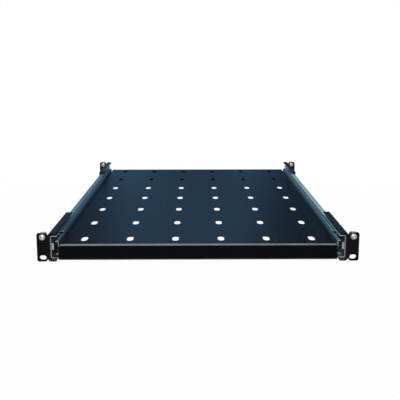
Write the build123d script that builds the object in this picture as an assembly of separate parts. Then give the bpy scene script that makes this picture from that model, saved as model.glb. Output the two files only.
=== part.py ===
"""Sliding shelf for a four-post equipment rack, on three-part telescopic ball rails.

Millimetres. The origin is the middle of the front ears' hole pattern, on the face of the ears that
lies against the front posts. +X is to the right seen from the front, +Y into the rack and +Z up.
The right-hand pieces are modelled and the left-hand ones are their mirror images.
"""

import os
from math import cos, pi, radians, sin, sqrt, tan

from build123d import *

os.makedirs("parts", exist_ok=True)

# Tray, folded from one sheet
tray_rear_gap = 2.0
tray_sheet = 1.5
tray_top_z = 4.5
lip_height = 25.0
lip_return = 12.0
fold_inner_radius = 1.0
corner_gap = 0.4
slot_length = 20.0
slot_width = 10.0
slot_columns = 6
slot_rows = 7
slot_end_flats = 6
slot_side_margin = 34.5
slot_end_margin = 25.0

# Rack interface
hole_spacing_x = 465.0
hole_spacing_z = 31.75
ear_slot_width = 7.0
ear_slot_length = 10.0
ear_edge_margin = 8.8
ear_web_margin = 8.3
ear_end_margin = 6.125
post_distance = 500.0

# Brackets, folded from one sheet
bracket_sheet = 2.0
bracket_length = 100.0
bracket_flange = 11.5
bracket_relief = 3.0
ear_corner_chamfer = 2.0

# Rails, rolled strip
rail_height = 35.0
rail_thickness = 12.7
rail_strip = 1.0
rail_gap_above = 4.0
rail_gap_below = 1.0
outer_rail_start = 3.0
outer_rail_setback = 17.0
middle_rail_start = 35.0
inner_rail_start = 1.0
inner_rail_setback = 16.0
outer_corner_radius = 1.5
lip_bend_radius = 0.8
lip_angle = 35.0
race_offset_angle = 52.0
outer_race_wrap = 65.0
middle_race_wrap = 106.0
inner_race_wrap = 85.0
lug_length = 3.0
lug_height = 10.0
travel_margin = 20.0

# Balls and their cages
ball_diameter = 3.0
ball_clearance = 0.05
balls_per_row = 5
cage_strip = 0.5
cage_play = 1.0
cage_end_margin = 12.0
cage_reach = 0.5
cage_corner_radius = 0.9
ball_hole_clearance = 0.1
cage_gap = 0.35

# Rubber stop at the closed end
bumper_gap = 1.0
bumper_length = 9.0
bumper_height = 22.0
bumper_chamfer = 1.0

# M4 fasteners, and thinner tapping screws in the tray
fit_clearance = 0.05
screw_diameter = 4.0
tray_screw_diameter = 3.5
screw_head_diameter = 7.0
screw_head_height = 2.0
screw_hole_clearance = 0.25
nut_across_flats = 7.0
nut_height = 3.2
thread_beyond = 1.0
front_screw_y = (60.0, 85.0)
rear_screw_insets = (58.0, 28.0)
rear_slot_length = 22.0
tray_screw_insets = (44.0, 47.0)
access_window_length = 14.0
access_window_height = 10.0

# Worked out from the values above. The tray takes what the rack's hole spacing and the distance
# between its posts leave beside the rails and brackets.
ear_height = hole_spacing_z + 2 * ear_end_margin
ear_outer_x = hole_spacing_x / 2 + ear_edge_margin
bracket_height = rail_height + rail_gap_above + rail_gap_below + 2 * bracket_sheet
bracket_corner_radius = 1.5 * bracket_sheet
rail_centre_z = bracket_sheet + rail_gap_below + rail_height / 2 - bracket_height / 2
bracket_outer_x = hole_spacing_x / 2 - ear_web_margin
bracket_inner_x = bracket_outer_x - bracket_sheet
side_x = bracket_inner_x - rail_thickness
tray_width = 2 * side_x
tray_front_y = -bracket_sheet
tray_rear_y = post_distance - tray_rear_gap
tray_depth = tray_rear_y - tray_front_y
slot_column_pitch = (tray_width - 2 * slot_side_margin) / (slot_columns - 1)
slot_row_pitch = (tray_depth - 2 * slot_end_margin) / (slot_rows - 1)
fold_outer_radius = fold_inner_radius + tray_sheet
lip_bottom_z = tray_top_z - lip_height
race_radius = ball_diameter / 2 + ball_clearance + rail_strip / 2
strip_middle = rail_strip / 2
lip_reach = (race_radius + lip_bend_radius) * sin(radians(lip_angle))
lip_drop = (race_radius + lip_bend_radius) * cos(radians(lip_angle))

# Ball centres in the rail's section, measured outwards from the tray's side and up from the middle
outer_race_h = rail_height / 2 - strip_middle - race_radius
inner_race_u = strip_middle + lip_bend_radius + lip_reach
inner_race_h = outer_race_h - 2 * race_radius * sin(radians(race_offset_angle))
outer_race_u = inner_race_u + 2 * race_radius * cos(radians(race_offset_angle))
middle_web_u = outer_race_u + lip_reach + lip_bend_radius
outer_web_u = rail_thickness - strip_middle

# Ends of the rails. The outer rail spans the posts, the middle one stops at the rubber, and the
# inner one follows the tray. The screws keep their distance from the end that they hold.
outer_rail_end = post_distance - outer_rail_setback
outer_rail_length = outer_rail_end - outer_rail_start
travel = outer_rail_length - travel_margin
bumper_y = outer_rail_end - bumper_length
middle_rail_length = bumper_y - bumper_gap - middle_rail_start
inner_rail_end = tray_rear_y - inner_rail_setback
inner_rail_length = inner_rail_end - inner_rail_start
rear_screw_y = tuple(outer_rail_end - inset for inset in rear_screw_insets)
tray_screw_y = (inner_rail_start + tray_screw_insets[0], inner_rail_end - tray_screw_insets[1])

# With the shelf right out, each cage lies between a front stop and a rear stop. The middle rail
# moves half as far as the shelf, the outer cage a quarter and the inner cage three quarters.
outer_stops = (
    outer_rail_start + 2 * lug_length,
    middle_rail_start + middle_rail_length - lug_length - travel / 2,
)
inner_stops = (
    middle_rail_start + lug_length - travel / 2,
    inner_rail_end - lug_length - travel,
)


def right_section(sketch, start, length):
    """A section drawn outwards from the tray's side, run along Y from START for LENGTH."""
    plane = Plane(origin=(side_x, start, rail_centre_z), x_dir=(1, 0, 0), z_dir=(0, -1, 0))
    return extrude(plane * sketch, amount=length, dir=(0, 1, 0))


def both_halves(half):
    return half + mirror(half, about=Plane.XZ)


def strip_section(edges, thickness):
    """The section of a strip whose centre line is EDGES, with its lower half mirrored."""
    return both_halves(trace(Curve() + edges, line_width=thickness))


def across(diameter, u_from, u_to, y, z=rail_centre_z):
    """A round bar along X, between two distances from the tray's side."""
    bar = Cylinder(diameter / 2, u_to - u_from, align=(Align.CENTER, Align.CENTER, Align.MIN))
    return Pos(side_x + u_from, y, z) * Rot(0, 90, 0) * bar


def block(x_from, x_to, y_from, y_to, z_from, z_to):
    box = Box(x_to - x_from, y_to - y_from, z_to - z_from, align=Align.MIN)
    return Pos(x_from, y_from, z_from) * box


def lug(u_from, u_to, y):
    """A stop pressed out of a rail's web."""
    half = lug_height / 2
    low, high = rail_centre_z - half, rail_centre_z + half
    return block(side_x + u_from, side_x + u_to, y, y + lug_length, low, high)


def tray_slot():
    """Slot along Y whose round ends are a few flats each, which keeps the 42 of them light."""
    radius, centre = slot_width / 2, slot_length / 2 - slot_width / 2
    turns = [pi * step / slot_end_flats for step in range(slot_end_flats + 1)]
    far_end = [(radius * cos(turn), centre + radius * sin(turn)) for turn in turns]
    near_end = [(-x, -y) for x, y in far_end]
    return make_face(Polyline(*far_end, *near_end, close=True))


def tray():
    """Top, two side flanges, a rear lip and a front lip with a return, folded down."""
    half_width = tray_width / 2
    middle_y = tray_front_y + tray_depth / 2
    notch = fold_outer_radius

    across_path = FilletPolyline(
        (-half_width + tray_sheet / 2, lip_bottom_z),
        (-half_width + tray_sheet / 2, tray_top_z - tray_sheet / 2),
        (half_width - tray_sheet / 2, tray_top_z - tray_sheet / 2),
        (half_width - tray_sheet / 2, lip_bottom_z),
        radius=fold_inner_radius + tray_sheet / 2,
    )
    sides = Plane.XZ * trace(across_path, line_width=tray_sheet)
    sides = Pos(0, tray_front_y + notch, 0) * extrude(sides, tray_depth - 2 * notch, dir=(0, 1, 0))

    front, rear = tray_front_y + tray_sheet / 2, tray_rear_y - tray_sheet / 2
    along_path = FilletPolyline(
        (front + lip_return, lip_bottom_z + tray_sheet / 2),
        (front, lip_bottom_z + tray_sheet / 2),
        (front, tray_top_z - tray_sheet / 2),
        (rear, tray_top_z - tray_sheet / 2),
        (rear, lip_bottom_z),
        radius=fold_inner_radius + tray_sheet / 2,
    )
    lips = Plane.YZ * trace(along_path, line_width=tray_sheet)
    lips = Pos(-half_width + notch, 0, 0) * extrude(lips, tray_width - 2 * notch, dir=(1, 0, 0))

    body = sides + lips
    fold_z = tray_top_z - notch - corner_gap
    for y in (tray_front_y, tray_rear_y - tray_sheet):
        low_z = lip_bottom_z + notch if y == tray_front_y else lip_bottom_z
        body += block(-half_width, half_width, y, y + tray_sheet, low_z, fold_z)
    for x in (-half_width, half_width - tray_sheet):
        flange_from = tray_front_y + tray_sheet + corner_gap
        flange_to = tray_rear_y - tray_sheet - corner_gap
        body += block(x, x + tray_sheet, flange_from, flange_to, lip_bottom_z, fold_z)

    slots = GridLocations(slot_column_pitch, slot_row_pitch, slot_columns, slot_rows) * tray_slot()
    body -= Pos(0, middle_y, tray_top_z - tray_sheet) * extrude(Sketch() + slots, tray_sheet)
    for y in tray_screw_y:
        hole = across(tray_screw_diameter + 2 * fit_clearance, -tray_sheet, 0, y)
        body -= hole + mirror(hole, about=Plane.YZ)
    return body


def inner_rail():
    """Web on the tray's side, with a lip and a race that holds the inner balls from below."""
    lip = (strip_middle + lip_bend_radius, inner_race_h - lip_drop)
    section = strip_section(
        [
            Line((strip_middle, 0), (strip_middle, lip[1])),
            CenterArc(lip, lip_bend_radius, 180, -90 - lip_angle),
            CenterArc((inner_race_u, inner_race_h), race_radius, 270 - lip_angle, inner_race_wrap),
        ],
        rail_strip,
    )
    rail = right_section(section, inner_rail_start, inner_rail_length)
    rail += lug(strip_middle, middle_web_u - strip_middle - cage_gap, inner_rail_end - lug_length)
    for y in tray_screw_y:
        rail -= across(tray_screw_diameter + 2 * screw_hole_clearance, 0, rail_strip, y)
    return rail


def middle_rail():
    """Web with a lip, a race under the outer balls and a race over the inner balls."""
    lip = (middle_web_u - lip_bend_radius, outer_race_h - lip_drop)
    turn = 90 + lip_angle - race_offset_angle
    section = strip_section(
        [
            Line((middle_web_u, 0), (middle_web_u, lip[1])),
            CenterArc(lip, lip_bend_radius, 0, 90 + lip_angle),
            CenterArc((outer_race_u, outer_race_h), race_radius, 270 + lip_angle, -turn),
            CenterArc((inner_race_u, inner_race_h), race_radius, race_offset_angle, middle_race_wrap),
        ],
        rail_strip,
    )
    rail = right_section(section, middle_rail_start, middle_rail_length)
    rear_y = middle_rail_start + middle_rail_length - lug_length
    rail += lug(middle_web_u, middle_web_u + strip_middle + cage_gap + cage_strip, rear_y)
    rail += lug(middle_web_u - strip_middle - cage_gap - cage_strip, middle_web_u, middle_rail_start)
    web_from, web_to = side_x + middle_web_u - strip_middle, side_x + middle_web_u + strip_middle
    half_length, half_height = access_window_length / 2, access_window_height / 2
    low, high = rail_centre_z - half_height, rail_centre_z + half_height
    for y in front_screw_y + rear_screw_y:
        rail -= block(web_from, web_to, y - half_length, y + half_length, low, high)
    return rail


def outer_rail():
    """Web on the brackets, with a race over the outer balls."""
    top = rail_height / 2 - strip_middle
    corner_u = outer_web_u - outer_corner_radius
    corner_h = top - outer_corner_radius
    section = strip_section(
        [
            Line((outer_web_u, 0), (outer_web_u, corner_h)),
            CenterArc((corner_u, corner_h), outer_corner_radius, 0, 90),
            Line((corner_u, top), (outer_race_u, top)),
            CenterArc((outer_race_u, outer_race_h), race_radius, 90, outer_race_wrap),
        ],
        rail_strip,
    )
    rail = right_section(section, outer_rail_start, outer_rail_length)
    rail += lug(middle_web_u + strip_middle + cage_gap, outer_web_u, outer_rail_start + lug_length)
    for y in front_screw_y + rear_screw_y:
        hole = screw_diameter + 2 * screw_hole_clearance
        rail -= across(hole, rail_thickness - rail_strip, rail_thickness, y)
    return rail


def bumper():
    """Rubber stop on the outer rail's web, behind the middle rail's rear end."""
    x_from, x_to = side_x + middle_web_u - strip_middle, side_x + rail_thickness - rail_strip
    low, high = rail_centre_z - bumper_height / 2, rail_centre_z + bumper_height / 2
    stop = block(x_from, x_to, bumper_y, bumper_y + bumper_length, low, high)
    return chamfer(stop.edges().filter_by(Axis.X), bumper_chamfer)


def cage_section(web_u, race_u, race_h):
    """A thin strip behind a rail's web whose two arms pass through the ball centres."""
    tip_u = race_u - ball_diameter / 2 - ball_hole_clearance - cage_reach
    corners = [(tip_u, -race_h), (web_u, -race_h), (web_u, race_h), (tip_u, race_h)]
    return trace(FilletPolyline(corners, radius=cage_corner_radius), line_width=cage_strip)


def ball_places(race_u, race_h, start, length):
    first = start + cage_end_margin
    pitch = (length - 2 * cage_end_margin) / (balls_per_row - 1)
    return [
        Pos(side_x + race_u, first + row * pitch, rail_centre_z + side * race_h)
        for row in range(balls_per_row)
        for side in (-1, 1)
    ]


def ball():
    """A ball with 26 flats, which keeps a row of them light; its corners reach the full diameter."""
    face_share = tan(pi / 8)
    side = ball_diameter / sqrt(1 + 2 * face_share**2)
    return chamfer(Box(side, side, side).edges(), side * (1 - face_share) / 2)


def cage_and_balls(web_u, race_u, race_h, stops, share):
    """A cage that lies between its STOPS after moving its SHARE of the travel, and its balls."""
    start = stops[0] + cage_play + share * travel
    length = stops[1] - stops[0] - 2 * cage_play
    places = ball_places(race_u, race_h, start, length)
    body = right_section(cage_section(web_u, race_u, race_h), start, length)
    pocket_width = ball_diameter + 2 * ball_hole_clearance
    for place in places:
        body -= place * Box(pocket_width, pocket_width, 2 * cage_strip)
    return body, [place * ball() for place in places]


def bracket_channel(start, length):
    """The part of a bracket that wraps over and under the rail."""
    half = bracket_height / 2 - bracket_sheet / 2
    web_x = bracket_outer_x - bracket_sheet / 2
    tip_x = bracket_outer_x - bracket_flange
    path = FilletPolyline(
        (tip_x, -half),
        (web_x, -half),
        (web_x, half),
        (tip_x, half),
        radius=bracket_sheet,
    )
    section = Plane.XZ * trace(path, line_width=bracket_sheet)
    return Pos(0, start, 0) * extrude(section, length, dir=(0, 1, 0))


def ear(front_y, web_end_y, tongue):
    """Plate against the post's face, bent out of the web, with its two slots."""
    web_x = bracket_outer_x - bracket_sheet / 2
    plate_y = front_y + bracket_sheet / 2
    half = ear_height / 2
    path = FilletPolyline((web_x, web_end_y), (web_x, plate_y), (ear_outer_x, plate_y), radius=bracket_sheet)
    bend = Pos(0, 0, -tongue) * extrude(trace(path, line_width=bracket_sheet), 2 * tongue)
    inner_x = bracket_outer_x + bracket_sheet
    plate = block(inner_x, ear_outer_x, front_y, front_y + bracket_sheet, -half, half)
    plate = chamfer(plate.edges().filter_by(Axis.Y), ear_corner_chamfer)
    body = plate + bend
    cut = extrude(Plane.XZ * SlotOverall(ear_slot_length, ear_slot_width), 2 * bracket_sheet, both=True)
    for z in (-hole_spacing_z / 2, hole_spacing_z / 2):
        body -= Pos(hole_spacing_x / 2, front_y, z) * cut
    return body


def channel_with_ear(start, length, front_y, web_end_y):
    """Channel whose web is bent out into the ear, between the folds of its two flanges."""
    tongue = bracket_height / 2 - bracket_corner_radius
    low_y = min(front_y, web_end_y)
    high_y = max(front_y + bracket_sheet, web_end_y)
    body = bracket_channel(start, length)
    body -= block(bracket_inner_x, bracket_outer_x, low_y, high_y, -tongue, tongue)
    return body + ear(front_y, web_end_y, tongue)


def front_bracket():
    body = channel_with_ear(-bracket_sheet, bracket_length + bracket_sheet, -bracket_sheet, bracket_relief)
    for y in front_screw_y:
        body -= across(screw_diameter + 2 * fit_clearance, rail_thickness, rail_thickness + bracket_sheet, y)
    return body


def rear_bracket():
    """Like the front one, turned end for end, with slots in its web for the rack's depth."""
    ear_face_y = post_distance - bracket_sheet
    start = post_distance - bracket_length
    body = channel_with_ear(start, bracket_length, ear_face_y, ear_face_y - bracket_relief)
    slot = SlotOverall(rear_slot_length, screw_diameter + 2 * screw_hole_clearance)
    slot = Plane(origin=(bracket_inner_x, 0, rail_centre_z), x_dir=(0, 1, 0), z_dir=(1, 0, 0)) * slot
    for y in rear_screw_y:
        body -= Pos(0, y, 0) * extrude(slot, bracket_sheet)
    return body


def screw(head_u, tip_u, y, diameter=screw_diameter):
    """Low-headed screw along X, its head's underside at HEAD_U and its point at TIP_U."""
    outwards = 1 if tip_u > head_u else -1
    head_from = min(head_u, head_u - outwards * screw_head_height)
    head = across(screw_head_diameter, head_from, head_from + screw_head_height, y)
    return head + across(diameter, min(head_u, tip_u), max(head_u, tip_u), y)


def nut(u_from, y):
    bore = screw_diameter + 2 * fit_clearance
    hexagon = RegularPolygon(nut_across_flats / 2, 6, major_radius=False, rotation=30)
    ring = hexagon - Circle(bore / 2)
    return Pos(side_x + u_from, y, rail_centre_z) * Rot(0, 90, 0) * extrude(ring, nut_height)


def bracket_screws():
    head_u = rail_thickness - rail_strip
    front_tip = rail_thickness + bracket_sheet
    rear_tip = front_tip + nut_height + thread_beyond
    front = [screw(head_u, front_tip, y) for y in front_screw_y]
    return front + [screw(head_u, rear_tip, y) for y in rear_screw_y]


def both_sides(name, shape):
    """Write a right-hand piece, or group of like pieces, and its mirror image."""
    solids = shape if isinstance(shape, list) else [shape]
    left = [mirror(solid, about=Plane.YZ) for solid in solids]
    export_step(Compound(children=solids), f"parts/right_{name}.step")
    export_step(Compound(children=left), f"parts/left_{name}.step")


outer_cage_u = middle_web_u + strip_middle + cage_gap + cage_strip / 2
inner_cage_u = middle_web_u - strip_middle - cage_gap - cage_strip / 2
tray_screw_tip_u = -tray_sheet - thread_beyond
outer_cage, outer_balls = cage_and_balls(outer_cage_u, outer_race_u, outer_race_h, outer_stops, 0.25)
inner_cage, inner_balls = cage_and_balls(inner_cage_u, inner_race_u, inner_race_h, inner_stops, 0.75)

export_step(tray(), "parts/shelf_tray.step")
both_sides("front_bracket", front_bracket())
both_sides("rear_bracket", rear_bracket())
both_sides("outer_rail", outer_rail())
both_sides("middle_rail", middle_rail())
both_sides("inner_rail", inner_rail())
both_sides("outer_cage", outer_cage)
both_sides("outer_balls", outer_balls)
both_sides("inner_cage", inner_cage)
both_sides("inner_balls", inner_balls)
both_sides("rail_bumper", bumper())
both_sides("bracket_screws", bracket_screws())
both_sides("bracket_nuts", [nut(rail_thickness + bracket_sheet, y) for y in rear_screw_y])
both_sides(
    "tray_screws",
    [screw(rail_strip, tray_screw_tip_u, y, tray_screw_diameter) for y in tray_screw_y],
)
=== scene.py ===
"""Dresses the sliding rack shelf: finishes, balls, rear return, rack screws, cage nuts and the stage.

Metres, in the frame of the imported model: the origin is the middle of the front ears' hole pattern,
+X to the right seen from the front, +Y into the rack and +Z up.
"""

from math import pi, radians, tan

import bmesh
import bpy
import numpy as np
from bpy.props import FloatProperty, FloatVectorProperty, IntProperty, PointerProperty
from bpy.types import NodeSocket, Operator, Panel, PropertyGroup
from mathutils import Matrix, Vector


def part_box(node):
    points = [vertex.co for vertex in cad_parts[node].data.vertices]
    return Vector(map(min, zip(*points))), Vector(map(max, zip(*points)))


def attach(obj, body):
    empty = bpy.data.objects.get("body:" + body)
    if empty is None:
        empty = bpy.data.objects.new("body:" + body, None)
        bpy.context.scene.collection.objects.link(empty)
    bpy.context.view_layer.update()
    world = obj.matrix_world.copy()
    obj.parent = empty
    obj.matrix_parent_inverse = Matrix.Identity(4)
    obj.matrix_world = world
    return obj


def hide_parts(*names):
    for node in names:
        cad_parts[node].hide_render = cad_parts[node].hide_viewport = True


bl_info = {
    "name": "Sliding rack shelf",
    "version": (1, 0, 0),
    "blender": (4, 5, 0),
    "location": "3D View > Sidebar > Rack shelf",
    "description": "Finishes and small hardware of a sliding rack shelf, built round its packed model",
    "category": "Object",
}

SIDES = ("left", "right")
MM = 0.001

WHITE = (1.0, 1.0, 1.0)
FLOOR_GREY = (0.86, 0.86, 0.86)
ROOM_TINT = (0.22, 0.56, 1.0)
# Pale coat of the worn edges, also used as the painted highlight along the tray's folds.
WORN_COAT_AND_HIGHLIGHT = (0.42, 0.43, 0.45)
WORN_STRIP = (0.78, 0.8, 0.82)
WORN_FASTENER = (0.86, 0.85, 0.8)
# Gain of each colour part in the zinc's warmer patches.
WARM_PATCHES = (1.15, 0.98, 0.92)
EDGE_RADIUS = 0.35 * MM

WELD_DISTANCE = 1e-6
SLIVER_LENGTH = 1e-7

PICTURE_PIXELS = 400
SENSOR_WIDTH = 36.0
CLIP_NEAR = 0.01
CLIP_FAR = 60.0

# Place, target and size of each lamp.
LAMPS = {
    "key": ((-0.25, 0.35, 1.5), (0.0, 0.25, 0.0), (2.2, 1.2)),
    "front": ((0.15, -1.5, 0.75), (0.0, 0.1, 0.0), (2.4, 0.9)),
    "fill": ((1.1, -0.9, 1.3), (0.0, 0.25, 0.0), (1.2, 1.2)),
}

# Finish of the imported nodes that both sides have, by name without the side.
PART_FINISHES = {
    "front_bracket": "bracket_coat",
    "rear_bracket": "bracket_coat",
    "outer_rail": "rail_zinc",
    "middle_rail": "rail_zinc",
    "inner_rail": "rail_zinc",
    "outer_cage": "cage_zinc",
    "inner_cage": "cage_zinc",
    "outer_balls": "ball_steel",
    "inner_balls": "ball_steel",
    "rail_bumper": "stop_rubber",
    "bracket_screws": "fastener_zinc",
    "bracket_nuts": "fastener_zinc",
    "tray_screws": "fastener_zinc",
}

# Nodes whose finish differs from the other side's, or that have no side.
SINGLE_FINISHES = {
    "shelf_tray": "tray_coat",
    # Painted shade: the left middle and inner rail get a darker copy of the rail zinc.
    "left_middle_rail": "deep_rail_zinc",
    "left_inner_rail": "deep_rail_zinc",
    # Painted highlight: the right outer rail's upward faces paler.
    "right_outer_rail": "pale_rail_zinc",
}

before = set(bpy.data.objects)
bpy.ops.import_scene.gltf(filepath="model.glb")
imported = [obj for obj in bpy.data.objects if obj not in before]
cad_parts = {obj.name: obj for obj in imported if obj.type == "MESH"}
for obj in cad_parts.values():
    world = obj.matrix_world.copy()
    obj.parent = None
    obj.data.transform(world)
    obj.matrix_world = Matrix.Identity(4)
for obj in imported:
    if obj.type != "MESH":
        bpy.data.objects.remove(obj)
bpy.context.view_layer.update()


def length_setting(name, description, millimetres):
    """A length, given in millimetres and kept in metres."""
    return FloatProperty(
        name=name, description=description, subtype="DISTANCE", unit="LENGTH", default=millimetres * MM
    )


def angle_setting(name, description, degrees):
    """An angle, given in degrees and kept in radians."""
    return FloatProperty(
        name=name, description=description, subtype="ANGLE", unit="ROTATION", default=radians(degrees)
    )


def power_setting(name, description, watts):
    """The power of a lamp."""
    return FloatProperty(
        name=name, description=description, subtype="POWER", unit="POWER", default=watts
    )


def colour_setting(name, description, default):
    """A colour, each part from 0 to 1."""
    return FloatVectorProperty(
        name=name, description=description, subtype="COLOR", size=3, min=0, max=1, default=default
    )


class FinishSettings(PropertyGroup):
    """Colours of the object's finishes and the painted highlight along its folds."""

    tray_colour: colour_setting(
        "Tray coat", "Blue-black powder coat on the tray", (0.003, 0.0035, 0.005)
    )
    bracket_colour: colour_setting(
        "Bracket coat", "Black powder coat on the four brackets", (0.002, 0.003, 0.004)
    )
    rail_colour: colour_setting("Rail zinc", "Blue passivated zinc on the rails", (0.32, 0.46, 0.53))
    # Painted shade: darker rail zinc for the left middle and inner rail.
    painted_shade_rail_colour: colour_setting(
        "Left moving rails", "Deeper blue zinc of the left middle and inner rail", (0.2, 0.34, 0.42)
    )
    # Painted highlight: pale colour on the right outer rail's upward faces.
    painted_highlight_rail_colour: colour_setting(
        "Right outer rail's top", "Pale, slightly green zinc on its upward faces", (0.82, 1.0, 0.92)
    )
    cut_end_colour: colour_setting("Cut ends", "Bright sheared ends of the rails", (0.8, 0.8, 0.8))
    fastener_colour: colour_setting(
        "Fastener zinc", "Yellowish zinc on screws, washers and nuts", (0.86, 0.83, 0.74)
    )
    rubber_colour: colour_setting("Rubber", "Moulded rubber of the end stops", (0.02, 0.02, 0.02))
    # Painted highlight: how far the tray's front and rear folds are paled.
    fold_painted_highlight: FloatProperty(
        name="Fold highlight",
        description="How far the coat is rubbed pale along the tray's front and rear folds",
        subtype="FACTOR", min=0, max=1, default=0.45,
    )


class BallSettings(PropertyGroup):
    """Sizes of the balls between the rails."""

    diameter: length_setting("Ball diameter", "Diameter of one ball", 3.0)
    per_row: IntProperty(name="Balls in a row", description="Balls in one row of a cage", default=5)
    rings: IntProperty(name="Rings", description="Steps from pole to pole on a ball", default=14)


class ReturnSettings(PropertyGroup):
    """Sizes of the rear lip's return, the flange folded forwards under the tray's rear edge."""

    depth: length_setting("Return depth", "How far it reaches forwards from the lip's outer face", 12.0)
    sheet: length_setting("Sheet", "Thickness of the tray's sheet", 1.5)
    inner_radius: length_setting("Fold radius", "Inner radius of the fold", 1.0)
    end_gap: length_setting("End gap", "How far the return ends short of the tray's sides", 2.5)


class ScrewSettings(PropertyGroup):
    """Sizes and places of the screws that hold the ears to the rack's posts."""

    spacing_x: length_setting("Spacing across", "Distance between the left and right screws", 465.0)
    height: length_setting("Height", "Height of the screws over the middle of the ears", 15.875)
    ear_sheet: length_setting("Ear sheet", "Thickness of the ears under the screws", 2.0)
    head_diameter: length_setting("Head diameter", "Diameter of the domed head", 8.0)
    head_height: length_setting("Head height", "Height of the domed head", 3.2)
    washer_diameter: length_setting("Washer diameter", "Outside diameter of the flat washer", 8.8)
    washer_bore: length_setting("Washer bore", "Bore of the flat washer", 6.6)
    washer_height: length_setting("Washer height", "Thickness of the flat washer", 1.0)
    thread_diameter: length_setting("Thread diameter", "Outside diameter of the M6 thread", 5.9)
    thread_pitch: length_setting("Thread pitch", "Pitch of the M6 thread", 1.0)
    length: length_setting("Screw length", "Length under the head", 14.0)


class NutSettings(PropertyGroup):
    """Sizes of the square nuts behind the ears and of their sprung cages."""

    post_sheet: length_setting("Post sheet", "Thickness of the rack's posts, left out here", 2.0)
    gap: length_setting("Gap", "Play between ear, post, nut and cage", 0.1)
    width: length_setting("Nut width", "Width of the square nut over its flats", 9.0)
    depth: length_setting("Nut depth", "Depth of the square nut", 5.0)
    strip: length_setting("Cage strip", "Thickness of the cage's strip", 0.5)
    leg_width: length_setting("Leg width", "Width of the cage's two legs", 6.5)
    leg_radius: length_setting("Leg folds", "Size of the rounding where a leg is folded", 0.7)
    foot_reach: length_setting("Foot reach", "Distance of a leg's front end from the screw's axis", 7.3)
    lip_reach: length_setting("Lip reach", "Distance of a leg's rear end from the screw's axis", 3.6)


class StageSettings(PropertyGroup):
    """Camera, lamps and floor."""

    camera_place: FloatVectorProperty(
        name="Camera place", description="Where the camera stands",
        subtype="TRANSLATION", unit="LENGTH", size=3, default=(-3.2 * MM, -726.6 * MM, 284.9 * MM),
    )
    camera_pitch: angle_setting("Camera pitch", "How far the camera looks down", 7.32)
    camera_yaw: angle_setting("Camera yaw", "How far the camera looks to the right", 0.45)
    focal_pixels: FloatProperty(
        name="Focal length", description="Focal length in pixels of the 400 pixel picture",
        default=504.2,
    )
    shift_pixels: FloatProperty(
        name="Picture shift", description="How far the picture is moved down, in pixels", default=80.0
    )
    floor_drop: length_setting("Floor depth", "How far the floor lies under the shelf", 900.0)
    floor_size: length_setting("Floor size", "Width of the floor", 14000.0)
    world_strength: FloatProperty(
        name="Room light", description="Strength of the room's even light", default=0.06
    )
    key_power: power_setting("Key lamp", "Power of the wide lamp above, a little to the left", 20.0)
    front_power: power_setting("Front lamp", "Power of the wide lamp behind and above the camera", 23.0)
    fill_power: power_setting("Fill lamp", "Power of the weak lamp above the front right", 2.0)


def feed(tree, source, target):
    """Give the socket TARGET its SOURCE, which is another socket or a plain value."""
    if isinstance(source, NodeSocket):
        tree.links.new(source, target)
    else:
        target.default_value = source


def add(tree, kind, inputs=None, **settings):
    """A node with its properties set and its inputs fed, by name or number."""
    node = tree.nodes.new(kind)
    for key, value in settings.items():
        setattr(node, key, value)
    for key, value in (inputs or {}).items():
        feed(tree, value, node.inputs[key])
    return node


def calculate(tree, operation, *operands):
    """Result of a math node on OPERANDS, sockets or numbers."""
    return add(tree, "ShaderNodeMath", dict(enumerate(operands)), operation=operation).outputs["Value"]


def axes(tree, vector):
    """The sockets X, Y and Z of a vector's parts."""
    return add(tree, "ShaderNodeSeparateXYZ", {"Vector": vector}).outputs


def value_range(tree, source, low, high, start=0.3, stop=0.7):
    """SOURCE from START to STOP, stretched to run from LOW to HIGH. The default span suits noise."""
    inputs = {"Value": source, "From Min": start, "From Max": stop, "To Min": low, "To Max": high}
    return add(tree, "ShaderNodeMapRange", inputs).outputs["Result"]


def blend(tree, mask, low, high, kind="RGBA"):
    """LOW to HIGH as MASK goes from 0 to 1: two colours, or two numbers where KIND is FLOAT."""
    mix = add(tree, "ShaderNodeMix", {"Factor": mask}, data_type=kind)
    wanted = {"RGBA": "RGBA", "FLOAT": "VALUE"}[kind]
    for name, value in (("A", low), ("B", high)):
        feed(tree, value, next(s for s in mix.inputs if s.name == name and s.type == wanted))
    return next(s for s in mix.outputs if s.type == wanted)


def noise(tree, scale, detail, roughness=0.5, stretch=(1, 1, 1)):
    """Noise in object coordinates, each axis multiplied by STRETCH."""
    place = add(tree, "ShaderNodeTexCoord").outputs["Object"]
    mapping = add(tree, "ShaderNodeMapping", {"Vector": place, "Scale": stretch})
    inputs = {
        "Vector": mapping.outputs["Vector"], "Scale": scale, "Detail": detail, "Roughness": roughness
    }
    return add(tree, "ShaderNodeTexNoise", inputs).outputs["Fac"]


def new_group(name, inputs, outputs):
    """An empty node group, its numbers' defaults given by INPUTS, with the nodes at its two ends."""
    group = bpy.data.node_groups.new(name, "ShaderNodeTree")
    for label, value in inputs.items():
        socket = group.interface.new_socket(name=label, in_out="INPUT", socket_type="NodeSocketFloat")
        socket.default_value = value
    for label in outputs:
        group.interface.new_socket(name=label, in_out="OUTPUT", socket_type="NodeSocketFloat")
    return group, group.nodes.new("NodeGroupInput"), group.nodes.new("NodeGroupOutput")


def grain_group():
    """Fine grain over broad mottling, both as values from 0 to 1."""
    scales = {"Grain Scale": 900.0, "Mottle Scale": 30.0}
    group, given, made = new_group("grain", scales, ["Grain", "Mottle"])
    for label, detail in (("Grain", 3.0), ("Mottle", 4.0)):
        value = noise(group, given.outputs[f"{label} Scale"], detail, roughness=0.55)
        feed(group, value, made.inputs[label])


def streak_group():
    """Long fine marks along Y, as rolling leaves them on strip."""
    group, given, made = new_group("drawn_streaks", {"Scale": 700.0}, ["Streaks"])
    streaks = noise(group, given.outputs["Scale"], detail=4.0, roughness=0.6, stretch=(1, 0.012, 1))
    feed(group, streaks, made.inputs["Streaks"])


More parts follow.
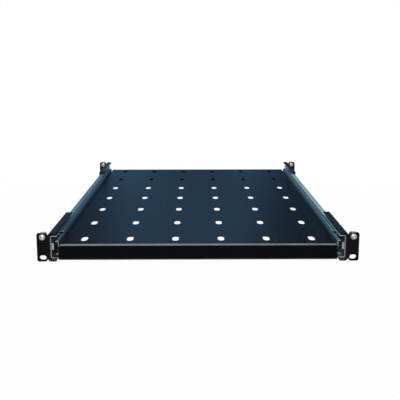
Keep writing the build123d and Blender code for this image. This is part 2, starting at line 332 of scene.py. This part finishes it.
def edge_group():
    """Mask of the outer edges, where the rounded normal leaves the flat one, broken up by noise."""
    group, given, made = new_group("edge_wear", {"Break-up Scale": 260.0}, ["Mask"])
    rounded = add(group, "ShaderNodeBevel", {"Radius": EDGE_RADIUS}, samples=6)
    flat = add(group, "ShaderNodeNewGeometry")
    normals = {0: rounded.outputs["Normal"], 1: flat.outputs["Normal"]}
    agree = add(group, "ShaderNodeVectorMath", normals, operation="DOT_PRODUCT")
    edge = value_range(group, agree.outputs["Value"], 0, 1, start=0.995, stop=0.9)
    patches = noise(group, given.outputs["Break-up Scale"], detail=3.0)
    patchy = value_range(group, patches, 0, 1, start=0.35, stop=0.65)
    feed(group, calculate(group, "MULTIPLY", edge, patchy), made.inputs["Mask"])


def highlight_fold_group():
    """Mask of a painted highlight on the folds along X: |y z| of the normal, about twice over, broken
    up by noise.

    It is 0 on level and upright faces and on folds along Y, and up to 1 halfway round a fold along X.
    """
    group, given, made = new_group("rubbed_folds", {"Break-up Scale": 60.0}, ["Mask"])
    facing = axes(group, add(group, "ShaderNodeNewGeometry").outputs["Normal"])
    turned = calculate(group, "ABSOLUTE", calculate(group, "MULTIPLY", facing["Y"], facing["Z"]))
    patches = noise(group, given.outputs["Break-up Scale"], detail=3.0)
    patchy = value_range(group, patches, 1.4, 2.0)
    feed(group, calculate(group, "MULTIPLY", turned, patchy), made.inputs["Mask"])


def end_group():
    """Mask that is 1 on faces square to Y, the cut ends of a strip, with slight streaks."""
    group, given, made = new_group("sheared_ends", {"Streak Scale": 1800.0}, ["Mask"])
    facing = axes(group, add(group, "ShaderNodeNewGeometry").outputs["True Normal"])
    facing_y = calculate(group, "ABSOLUTE", facing["Y"])
    square = value_range(group, facing_y, 0, 1, start=0.85, stop=0.97)
    marks = noise(group, given.outputs["Streak Scale"], detail=2.0, stretch=(1, 1, 0.1))
    streaks = value_range(group, marks, 0.7, 1.0)
    feed(group, calculate(group, "MULTIPLY", square, streaks), made.inputs["Mask"])


def new_material(name):
    """A material with its Principled shader joined to the output."""
    material = bpy.data.materials.new(name)
    material.use_nodes = True
    tree = material.node_tree
    tree.nodes.clear()
    shader = add(tree, "ShaderNodeBsdfPrincipled")
    add(tree, "ShaderNodeOutputMaterial", {"Surface": shader.outputs["BSDF"]})
    return material, tree, shader


def use_group(tree, group, inputs=None):
    """The outputs of the node group named GROUP."""
    return add(tree, "ShaderNodeGroup", inputs, node_tree=bpy.data.node_groups[group]).outputs


def rgba(colour, gain=1.0):
    """COLOUR times GAIN, no part over 1, with full alpha."""
    return (*[min(channel * gain, 1.0) for channel in colour], 1.0)


def shaded(tree, source, colour, dark, light):
    """COLOUR times DARK to COLOUR times LIGHT, as the noise SOURCE varies."""
    return blend(tree, value_range(tree, source, 0, 1), rgba(colour, dark), rgba(colour, light))


def lightened(tree, mask, colour, pale_colour, share):
    """COLOUR with a SHARE of the pale colour where MASK is 1: worn edges, and on the coat's folds a
    painted highlight.
    """
    return blend(tree, value_range(tree, mask, 0, share, start=0, stop=1), colour, rgba(pale_colour))


def dress(tree, shader, inputs):
    """Feed the shader's inputs by name."""
    for name, source in inputs.items():
        feed(tree, source, shader.inputs[name])


def bump(tree, shader, height, strength, distance):
    """Bend the shader's normal by a bump of HEIGHT, from 0 to 1, over DISTANCE."""
    inputs = {"Height": height, "Strength": strength, "Distance": distance}
    feed(tree, add(tree, "ShaderNodeBump", inputs).outputs["Normal"], shader.inputs["Normal"])


def powder_coat(name, colour, roughness, specular, grain_scale, grain_height, fold_painted_highlight):
    """Powder coat: fine orange-peel grain, slight mottling, paler worn edges and a painted highlight on
    the folds along X.
    """
    material, tree, shader = new_material(name)
    grain = use_group(tree, "grain", {"Grain Scale": grain_scale, "Mottle Scale": 22.0})
    coat = shaded(tree, grain["Mottle"], colour, dark=0.85, light=1.15)
    coat = lightened(tree, use_group(tree, "edge_wear")["Mask"], coat, WORN_COAT_AND_HIGHLIGHT, share=0.35)
    # Painted highlight: the folds along X paled with the worn edges' colour.
    coat = lightened(tree, use_group(tree, "rubbed_folds")["Mask"], coat, WORN_COAT_AND_HIGHLIGHT, share=fold_painted_highlight)
    dress(tree, shader, {
        "Base Color": coat,
        "Roughness": value_range(tree, grain["Grain"], roughness - 0.06, roughness + 0.06),
        "Specular IOR Level": specular,
    })
    bump(tree, shader, grain["Grain"], strength=0.35, distance=grain_height)
    return material


def zinc_strip(name, colour, end_colour, roughness, streak_scale, painted_highlight_colour=None):
    """Plated strip: streaks along the rail, uneven passivation, worn edges and bright sheared ends.

    The last colour, where given, is a painted highlight on the faces that lie level and look up.
    """
    material, tree, shader = new_material(name)
    streaks = use_group(tree, "drawn_streaks", {"Scale": streak_scale})["Streaks"]
    grain = use_group(tree, "grain", {"Grain Scale": 1500.0, "Mottle Scale": 12.0})
    strip = shaded(tree, streaks, colour, dark=0.8, light=1.12)
    warm = rgba([channel * share for channel, share in zip(colour, WARM_PATCHES)])
    strip = blend(tree, value_range(tree, grain["Mottle"], 0, 0.4), strip, warm)
    # Painted highlight: upward faces take the paler colour.
    if painted_highlight_colour is not None:
        facing = axes(tree, add(tree, "ShaderNodeNewGeometry").outputs["True Normal"])
        upward = value_range(tree, facing["Z"], 0, 1, start=0.6, stop=0.95)
        strip = blend(tree, upward, strip, rgba(painted_highlight_colour))
    strip = lightened(tree, use_group(tree, "edge_wear")["Mask"], strip, WORN_STRIP, share=0.5)
    ends = use_group(tree, "sheared_ends")["Mask"]
    dress(tree, shader, {
        "Base Color": blend(tree, ends, strip, rgba(end_colour)),
        "Metallic": value_range(tree, ends, 0.95, 0.3, start=0, stop=1),
        "Roughness": value_range(tree, streaks, roughness - 0.08, roughness + 0.08),
    })
    bump(tree, shader, streaks, strength=0.25, distance=0.02 * MM)
    return material


def zinc_fastener(name, colour):
    """Yellowish plating with cloudy patches and bright edges."""
    material, tree, shader = new_material(name)
    grain = use_group(tree, "grain", {"Grain Scale": 2200.0, "Mottle Scale": 320.0})
    plating = shaded(tree, grain["Mottle"], colour, dark=0.82, light=1.12)
    edges = use_group(tree, "edge_wear", {"Break-up Scale": 500.0})["Mask"]
    dress(tree, shader, {
        "Base Color": lightened(tree, edges, plating, WORN_FASTENER, share=0.6),
        "Metallic": 0.6,
        "Roughness": value_range(tree, grain["Grain"], 0.3, 0.46),
    })
    bump(tree, shader, grain["Grain"], strength=0.2, distance=0.015 * MM)
    return material


def moulded_rubber(name, colour):
    """Matt rubber with a fine moulded grain."""
    material, tree, shader = new_material(name)
    grain = use_group(tree, "grain", {"Grain Scale": 2500.0, "Mottle Scale": 200.0})
    dress(tree, shader, {
        "Base Color": shaded(tree, grain["Mottle"], colour, dark=0.85, light=1.6),
        "Roughness": value_range(tree, grain["Grain"], 0.7, 0.88),
    })
    bump(tree, shader, grain["Grain"], strength=0.4, distance=0.03 * MM)
    return material


def material_named(name):
    """A finish by its name, or an error where nothing has made it yet."""
    found = bpy.data.materials.get(name)
    if found is None:
        raise RuntimeError(f"make the finishes first: there is no material {name}")
    return found


def surface_mesh(name, sheets, smooth=True):
    """One mesh from point grids of shape (rows, columns, 3), each a sheet of quads between its rows.

    Points that meet, as at seams and poles, are merged, and the faces are turned outwards.
    """
    vertices, faces, count = [], [], 0
    for grid in sheets:
        rows, columns = grid.shape[:2]
        index = count + np.arange(rows * columns).reshape(rows, columns)
        corners = (index[:-1, :-1], index[:-1, 1:], index[1:, 1:], index[1:, :-1])
        faces.append(np.stack(corners, axis=-1).reshape(-1, 4))
        vertices.append(grid.reshape(-1, 3))
        count += rows * columns
    mesh = bpy.data.meshes.new(name)
    mesh.from_pydata(np.concatenate(vertices), [], np.concatenate(faces))
    work = bmesh.new()
    work.from_mesh(mesh)
    bmesh.ops.remove_doubles(work, verts=work.verts, dist=WELD_DISTANCE)
    bmesh.ops.dissolve_degenerate(work, edges=work.edges, dist=SLIVER_LENGTH)
    bmesh.ops.recalc_face_normals(work, faces=work.faces)
    work.to_mesh(mesh)
    work.free()
    mesh.polygons.foreach_set("use_smooth", np.full(len(mesh.polygons), smooth))
    return mesh


def add_piece(name, mesh, body, material):
    """A new object at the origin that rides on BODY, in MATERIAL."""
    piece = bpy.data.objects.new(name, mesh)
    bpy.context.scene.collection.objects.link(piece)
    mesh.materials.append(material)
    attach(piece, body)
    return piece


def moved(sheets, place):
    """The point grids of SHEETS, each point moved by PLACE."""
    return [grid + np.array(place) for grid in sheets]


def sphere_grid(centre, radius, rings):
    """Points at CENTRE plus RADIUS times the direction of each latitude and longitude."""
    latitude = np.linspace(-pi / 2, pi / 2, rings + 1)[:, None]
    longitude = np.linspace(0, 2 * pi, 2 * rings + 1)[None, :]
    x = np.cos(latitude) * np.cos(longitude)
    y = np.cos(latitude) * np.sin(longitude)
    z = np.sin(latitude) * np.ones_like(longitude)
    return np.array(centre) + radius * np.stack((x, y, z), axis=-1)


def turned_grid(profile, steps):
    """PROFILE's points (distance along Y, radius) turned about the Y axis: x = r cos a, z = r sin a."""
    along, radius = np.array(profile, float).T
    angle = np.linspace(0, 2 * pi, steps + 1)[None, :]
    x = radius[:, None] * np.cos(angle)
    z = radius[:, None] * np.sin(angle)
    y = along[:, None] * np.ones_like(angle)
    return np.stack((x, y, z), axis=-1)


def cross_recess(x, z, reach, width, depth):
    """Depth of a cross-shaped recess: two bars REACH long each way and WIDTH wide with sloped walls."""
    slope = width * 0.35

    def bar(along, beside):
        inside = np.clip((width / 2 - np.abs(beside)) / slope, 0, 1)
        return inside * np.clip((reach - np.abs(along)) / slope, 0, 1)

    return depth * np.maximum(bar(x, z), bar(z, x))


def domed_head(diameter, height, steps=72):
    """Pan head facing -Y, its seat at y = 0: a rounded rim under a shallow dome with a cross recess.

    The ring at share s of the radius lies at y = -height (1 - drop s^power), less the recess; the
    rings stand closer towards the rim. The side wall and the seat ring close the head.
    """
    drop, power = 0.62, 3.2
    recess_reach, recess_width, recess_depth = 0.56, 0.30, 0.55
    radius = diameter / 2
    inner_share = np.linspace(0, 0.72, 19)
    rim_share = np.sin(np.linspace(0.85, pi / 2, 12))
    share = np.unique(np.round(np.concatenate((inner_share, rim_share)), 6))[:, None]
    angle = np.linspace(0, 2 * pi, steps + 1)[None, :]
    x = radius * share * np.cos(angle)
    z = radius * share * np.sin(angle)
    top = -height * (1 - share**power * drop) * np.ones_like(angle)
    y = top + cross_recess(x, z, radius * recess_reach, radius * recess_width, height * recess_depth)
    dome = np.stack((x, y, z), axis=-1)
    rim_y = float(y[-1, 0])
    side = turned_grid([(rim_y, radius), (0, radius), (0, radius / 2)], steps)
    return [dome, side]


def thread_grid(start, length, diameter, pitch, steps=28):
    """Outside thread along Y: the radius falls and rises once a turn, y = start + pitch times turns.

    The ridge fades over the last turns, and the core closes to a point right at the end.
    """
    rows_a_turn, fading_turns, closing_turns, depth_in_pitches = 6, 1.2, 0.1, 0.55
    depth = pitch * depth_in_pitches
    rows = int(length / pitch * rows_a_turn) + 1
    y = start + np.linspace(0, length, rows)[:, None]
    angle = np.linspace(0, 2 * pi, steps + 1)[None, :]
    phase = (y / pitch - angle / (2 * pi)) % 1.0
    ridge = np.abs(2 * phase - 1)
    left = start + length - y
    taper = np.clip(left / (fading_turns * pitch), 0, 1)
    core = np.clip(left / (closing_turns * pitch), 0, 1)
    radius = (diameter / 2 - depth * (1 - ridge * taper)) * core
    return np.stack((radius * np.cos(angle), y * np.ones_like(angle), radius * np.sin(angle)), axis=-1)


def washer_sheets(outer, inner, front, back, steps=48):
    """Flat ring from radius INNER to OUTER, its profile turned about Y, with bevelled outer rims."""
    bevel = (back - front) * 0.25
    profile = [
        (back, inner), (front, inner), (front, outer - bevel), (front + bevel, outer),
        (back - bevel, outer), (back, outer - bevel), (back, inner),
    ]
    return [turned_grid(profile, steps)]


def strip_sheets(path, width, thickness):
    """A strip WIDTH wide across X whose middle line follows PATH, (y, z) points, with square ends.

    The outline is the path moved half the thickness to each side along the mean of its two
    neighbouring normals, so the strip keeps its thickness round the bends.
    """
    least_lean = 0.5
    points = np.array(path, float)
    run = np.diff(points, axis=0)
    run = run / np.linalg.norm(run, axis=1)[:, None]
    normal = np.stack((-run[:, 1], run[:, 0]), axis=1)
    mean = np.concatenate((normal[:1], normal[:-1] + normal[1:], normal[-1:]))
    mean = mean / np.linalg.norm(mean, axis=1)[:, None]
    lean = np.maximum(np.sum(mean[1:-1] * normal[1:], axis=1), least_lean)
    stretch = np.concatenate(([1.0], 1 / lean, [1.0]))
    offset = mean * stretch[:, None] * thickness / 2
    outline = np.concatenate((points + offset, (points - offset)[::-1]))
    half = len(points)
    left = np.concatenate((np.full((2 * half, 1), -width / 2), outline), axis=1)
    right = left * (-1, 1, 1)
    wall = np.stack((np.concatenate((left, left[:1])), np.concatenate((right, right[:1]))), axis=0)
    ends = [np.stack((side[:half], side[half:][::-1]), axis=0) for side in (left, right)]
    return [wall, *ends]


def rounded_path(corners, radius, steps=4):
    """CORNERS joined by straight lines, each inner corner c replaced by the curve of a parabola.

    It runs from a to b, RADIUS before and after c: (1 - t)^2 a + 2 t (1 - t) c + t^2 b.
    """
    corners = np.array(corners, float)
    made = [corners[:1]]
    share = np.linspace(0, 1, steps + 1)[:, None]
    for before, corner, after in zip(corners[:-2], corners[1:-1], corners[2:]):
        start = corner + (before - corner) / np.linalg.norm(before - corner) * radius
        stop = corner + (after - corner) / np.linalg.norm(after - corner) * radius
        made.append((1 - share) ** 2 * start + 2 * share * (1 - share) * corner + share**2 * stop)
    made.append(corners[-1:])
    return np.concatenate(made)


def square_nut_sheets(width, bore, front, back, steps=40):
    """Square nut with rounded corners and a bore along Y: a superellipse outline and a round hole.

    The outline's x and z are half the width times cos a and sin a, each to the power 2/7.
    """
    power, face_share, rim = 2 / 7, 0.97, 0.3 * MM
    angle = np.linspace(0, 2 * pi, steps + 1)
    x = np.sign(np.cos(angle)) * np.abs(np.cos(angle)) ** power * width / 2
    z = np.sign(np.sin(angle)) * np.abs(np.sin(angle)) ** power * width / 2
    face_x, face_z = x * face_share, z * face_share
    hole_x, hole_z = bore / 2 * np.cos(angle), bore / 2 * np.sin(angle)
    rings = [
        (hole_x, front, hole_z), (face_x, front, face_z), (x, front + rim, z),
        (x, back - rim, z), (face_x, back, face_z), (hole_x, back, hole_z), (hole_x, front, hole_z),
    ]
    return [np.stack([np.stack((a, np.full_like(a, y), b), axis=-1) for a, y, b in rings], axis=0)]


def screw_places(settings):
    """Seats of the four rack screws: name, x, y of the ear's front face, z."""
    half = settings.spacing_x / 2
    places = []
    for side, x in zip(SIDES, (-half, half)):
        for end in ("front", "rear"):
            low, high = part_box(f"{side}_{end}_bracket")
            seat = low.y if end == "front" else high.y - settings.ear_sheet
            places.append((f"{side}_{end}", x, seat, settings.height))
    return places


class RACKSHELF_OT_finishes(Operator):
    """Make the finishes and put them on the sheet parts, rails, balls, fasteners and rubber"""

    bl_idname = "rackshelf.finishes"
    bl_label = "Finishes"

    def execute(self, context):
        settings = context.scene.rackshelf_finish
        for make_group in (grain_group, streak_group, edge_group, highlight_fold_group, end_group):
            make_group()
        zinc, cut_end = settings.rail_colour, settings.cut_end_colour
        rail = {"roughness": 0.42, "streak_scale": 900.0}
        finishes = (
            powder_coat(
                "tray_coat", settings.tray_colour, roughness=0.25, specular=0.5,
                grain_scale=1400.0, grain_height=0.012 * MM, fold_painted_highlight=settings.fold_painted_highlight,
            ),
            powder_coat(
                "bracket_coat", settings.bracket_colour, roughness=0.3, specular=0.85,
                grain_scale=1100.0, grain_height=0.015 * MM, fold_painted_highlight=0.02,
            ),
            zinc_strip("rail_zinc", zinc, cut_end, **rail),
            # Painted shade: a darker copy of the rail zinc.
            zinc_strip("deep_rail_zinc", settings.painted_shade_rail_colour, cut_end, **rail),
            # Painted highlight: the rail zinc, paler on upward faces.
            zinc_strip("pale_rail_zinc", zinc, cut_end, **rail, painted_highlight_colour=settings.painted_highlight_rail_colour),
            zinc_strip("cage_zinc", zinc, cut_end, roughness=0.38, streak_scale=1600.0),
            zinc_fastener("fastener_zinc", settings.fastener_colour),
            moulded_rubber("stop_rubber", settings.rubber_colour),
        )
        made = {material.name: material for material in finishes}
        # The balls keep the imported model's own polished steel.
        made["ball_steel"] = material_named("ball_steel")
        wanted = {f"{side}_{part}": finish for side in SIDES for part, finish in PART_FINISHES.items()}
        wanted.update(SINGLE_FINISHES)
        if set(wanted) != set(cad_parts):
            raise RuntimeError("the finishes and the packed nodes don't match")
        for node, finish in wanted.items():
            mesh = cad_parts[node].data
            mesh.materials.clear()
            mesh.materials.append(made[finish])
        return {"FINISHED"}


class RACKSHELF_OT_balls(Operator):
    """Put round balls in place of the flat-sided ones in the four cages' rows"""

    bl_idname = "rackshelf.balls"
    bl_label = "Rolling balls"

    def execute(self, context):
        settings = context.scene.rackshelf_balls
        radius = settings.diameter / 2
        # The corners of a packed ball's 26 flats lie on the sphere, so its box is a little smaller.
        flat_reach = radius / (1 + 2 * tan(pi / 8) ** 2) ** 0.5
        steel = material_named("ball_steel")
        for side in SIDES:
            for row in ("outer", "inner"):
                node = f"{side}_{row}_balls"
                low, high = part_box(node)
                middle_x = (low.x + high.x) / 2
                places = [
                    (middle_x, y, z)
                    for y in np.linspace(low.y + flat_reach, high.y - flat_reach, settings.per_row)
                    for z in (low.z + flat_reach, high.z - flat_reach)
                ]
                sheets = [sphere_grid(place, radius, settings.rings) for place in places]
                mesh = surface_mesh(f"{side}_{row}_rolling_balls", sheets)
                piece = add_piece(mesh.name, mesh, f"{side}_{row}_rollers", steel)
                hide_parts(node)
        return {"FINISHED"}


class RACKSHELF_OT_rear_return(Operator):
    """Add the return along the foot of the tray's rear lip"""

    bl_idname = "rackshelf.rear_return"
    bl_label = "Rear return"

    def execute(self, context):
        settings = context.scene.rackshelf_return
        low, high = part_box("shelf_tray")
        half_sheet = settings.sheet / 2
        lip_y, return_z = high.y - half_sheet, low.z + half_sheet
        bend = settings.inner_radius + half_sheet
        fold_room = 1.01
        top_z = return_z + fold_room * bend
        corners = [(lip_y, top_z), (lip_y, return_z), (high.y - settings.depth, return_z)]
        width = high.x - low.x - 2 * settings.end_gap
        sheets = strip_sheets(rounded_path(corners, bend, steps=8), width, settings.sheet)
        mesh = surface_mesh("tray_rear_return", sheets, smooth=False)
        add_piece(mesh.name, mesh, "shelf", material_named("tray_coat"))
        return {"FINISHED"}


class RACKSHELF_OT_rack_screws(Operator):
    """Add the four rack screws with their washers, heads against the ears"""

    bl_idname = "rackshelf.rack_screws"
    bl_label = "Rack screws"

    def execute(self, context):
        settings = context.scene.rackshelf_screws
        zinc = material_named("fastener_zinc")
        for name, x, seat, z in screw_places(settings):
            under_head = seat - settings.washer_height
            head = moved(domed_head(settings.head_diameter, settings.head_height), (0, under_head, 0))
            thread = thread_grid(
                under_head, settings.length, settings.thread_diameter, settings.thread_pitch
            )
            mesh = surface_mesh(f"{name}_rack_screw", moved([*head, thread], (x, 0, z)))
            add_piece(mesh.name, mesh, "root", zinc)
            outer, inner = settings.washer_diameter / 2, settings.washer_bore / 2
            ring = washer_sheets(outer, inner, under_head, seat)
            mesh = surface_mesh(f"{name}_rack_washer", moved(ring, (x, 0, z)), smooth=False)
            add_piece(mesh.name, mesh, "root", zinc)
        return {"FINISHED"}


class RACKSHELF_OT_cage_nuts(Operator):
    """Add the square nuts behind the ears, each in its sprung cage"""

    bl_idname = "rackshelf.cage_nuts"
    bl_label = "Cage nuts"

    def execute(self, context):
        screws = context.scene.rackshelf_screws
        nuts = context.scene.rackshelf_nuts
        zinc = material_named("fastener_zinc")
        half_strip = nuts.strip / 2
        for name, x, seat, z in screw_places(screws):
            face = seat + screws.ear_sheet
            front = face + nuts.post_sheet + nuts.gap
            nut = square_nut_sheets(nuts.width, screws.thread_diameter, front, front + nuts.depth)
            mesh = surface_mesh(f"{name}_square_nut", moved(nut, (x, 0, z)), smooth=False)
            add_piece(mesh.name, mesh, "root", zinc)
            foot_y = face + nuts.gap + half_strip
            leg_z = nuts.width / 2 + nuts.gap + half_strip
            back_y = front + nuts.depth + nuts.gap + half_strip
            legs = []
            for up in (1, -1):
                corners = [
                    (foot_y, up * nuts.foot_reach), (foot_y, up * leg_z),
                    (back_y, up * leg_z), (back_y, up * nuts.lip_reach),
                ]
                legs += strip_sheets(rounded_path(corners, nuts.leg_radius), nuts.leg_width, nuts.strip)
            mesh = surface_mesh(f"{name}_nut_cage", moved(legs, (x, 0, z)), smooth=False)
            add_piece(mesh.name, mesh, "root", zinc)
        return {"FINISHED"}


def level_by_ray(tree, even_level, glossy_level):
    """1 to camera and transmission rays, GLOSSY_LEVEL to glossy ones and EVEN_LEVEL to the rest."""
    rays = add(tree, "ShaderNodeLightPath").outputs
    direct = calculate(tree, "MAXIMUM", rays["Is Camera Ray"], rays["Is Transmission Ray"])
    others = blend(tree, rays["Is Glossy Ray"], even_level, glossy_level, "FLOAT")
    return blend(tree, direct, others, 1.0, "FLOAT")


def studio_world(strength):
    """Room that is white to the camera and an even, weak light to matt surfaces.

    Gloss mirrors it in blue: brighter behind and above, dim in front and to the sides, and ten
    times as bright beyond a slant of X to Z of about 0.8, where the rails' lips mirror it.
    """
    middle_shift = 0.015
    world = bpy.data.worlds.new("studio_world")
    bpy.context.scene.world = world
    world.use_nodes = True
    tree = world.node_tree
    tree.nodes.clear()
    direction = axes(tree, add(tree, "ShaderNodeTexCoord").outputs["Generated"])
    beside = calculate(tree, "ABSOLUTE", calculate(tree, "ADD", direction["X"], middle_shift))
    slant = calculate(tree, "DIVIDE", calculate(tree, "ABSOLUTE", direction["X"]), direction["Z"])
    mirrored = value_range(tree, direction["Y"], low=0.02, high=0.48, start=-0.2, stop=0.8)
    for source, levels in (
        (direction["Z"], {"low": 0.24, "high": 1.0, "start": 0.2, "stop": 0.36}),
        (beside, {"low": 1.0, "high": 0.12, "start": 0.11, "stop": 0.19}),
        (slant, {"low": 1.0, "high": 10.0, "start": 0.79, "stop": 0.84}),
    ):
        mirrored = calculate(tree, "MULTIPLY", mirrored, value_range(tree, source, **levels))
    glossy = add(tree, "ShaderNodeLightPath").outputs["Is Glossy Ray"]
    background = add(tree, "ShaderNodeBackground", {
        "Color": blend(tree, glossy, rgba(WHITE), rgba(ROOM_TINT)),
        "Strength": level_by_ray(tree, strength, mirrored),
    })
    add(tree, "ShaderNodeOutputWorld", {"Surface": background.outputs["Background"]})


def studio_floor(drop, size):
    """Wide pale floor under the shelf: a level square of SIZE at z = -DROP.

    The camera sees it as white with a trace of shadow under the shelf. Gloss mirrors it dim in
    front and white behind.
    """
    line = np.linspace(-size / 2, size / 2, 2)
    x, y = np.meshgrid(line, line)
    grid = np.stack((x, y, np.full_like(x, -drop)), axis=-1)
    mesh = surface_mesh("studio_floor", [grid], smooth=False)
    floor = bpy.data.objects.new("studio_floor", mesh)
    bpy.context.scene.collection.objects.link(floor)
    material, tree, shader = new_material("pale_floor")
    dress(tree, shader, {"Base Color": rgba(FLOOR_GREY), "Roughness": 0.9, "Specular IOR Level": 0.0})
    place = add(tree, "ShaderNodeTexCoord").outputs["Object"]
    rays = add(tree, "ShaderNodeLightPath").outputs
    behind = value_range(tree, axes(tree, place)["Y"], low=0.02, high=1.0, start=-1.2, stop=0.6)
    glow = add(tree, "ShaderNodeEmission", {
        "Color": rgba(WHITE),
        "Strength": blend(tree, rays["Is Glossy Ray"], 1.0, behind, "FLOAT"),
    })
    seen = calculate(tree, "MAXIMUM", rays["Is Camera Ray"], rays["Is Glossy Ray"])
    reach = add(tree, "ShaderNodeVectorMath", {0: place}, operation="LENGTH").outputs["Value"]
    far = value_range(tree, reach, low=0.97, high=1.0, start=1.5, stop=4.5)
    mix = add(tree, "ShaderNodeMixShader", {
        "Fac": calculate(tree, "MULTIPLY", seen, far),
        1: shader.outputs["BSDF"],
        2: glow.outputs["Emission"],
    })
    output = next(node for node in tree.nodes if node.type == "OUTPUT_MATERIAL")
    feed(tree, mix.outputs["Shader"], output.inputs["Surface"])
    mesh.materials.append(material)


def soft_lamp(name, place, target, size, power):
    """A rectangular lamp of SIZE that stands at PLACE and faces TARGET."""
    lamp = bpy.data.lights.new(name, "AREA")
    lamp.shape = "RECTANGLE"
    lamp.size, lamp.size_y = size
    lamp.energy = power
    holder = bpy.data.objects.new(name, lamp)
    bpy.context.scene.collection.objects.link(holder)
    holder.location = place
    holder.rotation_mode = "QUATERNION"
    holder.rotation_quaternion = (Vector(target) - Vector(place)).to_track_quat("-Z", "Y")


class RACKSHELF_OT_stage(Operator):
    """Set up the camera, the soft lamps, the room and the floor"""

    bl_idname = "rackshelf.stage"
    bl_label = "Stage"

    def execute(self, context):
        scene = context.scene
        settings = scene.rackshelf_stage
        scene.view_settings.view_transform = "Standard"
        studio_world(settings.world_strength)
        studio_floor(settings.floor_drop, settings.floor_size)
        for name, (place, target, size) in LAMPS.items():
            soft_lamp(f"{name}_lamp", place, target, size, getattr(settings, f"{name}_power"))
        lens = bpy.data.cameras.new("photo_camera")
        lens.sensor_width = SENSOR_WIDTH
        lens.lens = settings.focal_pixels * SENSOR_WIDTH / PICTURE_PIXELS
        lens.shift_y = -settings.shift_pixels / PICTURE_PIXELS
        lens.clip_start, lens.clip_end = CLIP_NEAR, CLIP_FAR
        camera = bpy.data.objects.new("photo_camera", lens)
        scene.collection.objects.link(camera)
        camera.location = settings.camera_place
        camera.rotation_euler = (pi / 2 - settings.camera_pitch, 0, -settings.camera_yaw)
        scene.camera = camera
        return {"FINISHED"}


class RACKSHELF_PT_panel(Panel):
    """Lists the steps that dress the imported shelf"""

    bl_label = "Rack shelf"
    bl_idname = "RACKSHELF_PT_panel"
    bl_space_type = "VIEW_3D"
    bl_region_type = "UI"
    bl_category = "Rack shelf"

    def draw(self, context):
        for operator in OPERATORS:
            self.layout.operator(operator.bl_idname)


SETTINGS = {
    "rackshelf_finish": FinishSettings,
    "rackshelf_balls": BallSettings,
    "rackshelf_return": ReturnSettings,
    "rackshelf_screws": ScrewSettings,
    "rackshelf_nuts": NutSettings,
    "rackshelf_stage": StageSettings,
}
OPERATORS = (
    RACKSHELF_OT_finishes,
    RACKSHELF_OT_balls,
    RACKSHELF_OT_rear_return,
    RACKSHELF_OT_rack_screws,
    RACKSHELF_OT_cage_nuts,
    RACKSHELF_OT_stage,
)
CLASSES = (*SETTINGS.values(), *OPERATORS, RACKSHELF_PT_panel)


def register():
    for cls in CLASSES:
        bpy.utils.register_class(cls)
    for name, cls in SETTINGS.items():
        setattr(bpy.types.Scene, name, PointerProperty(type=cls))


def unregister():
    for name in SETTINGS:
        delattr(bpy.types.Scene, name)
    for cls in reversed(CLASSES):
        bpy.utils.unregister_class(cls)


def main():
    register()
    for operator in OPERATORS:
        group, name = operator.bl_idname.split(".")
        getattr(getattr(bpy.ops, group), name)()


if __name__ == "__main__":
    main()
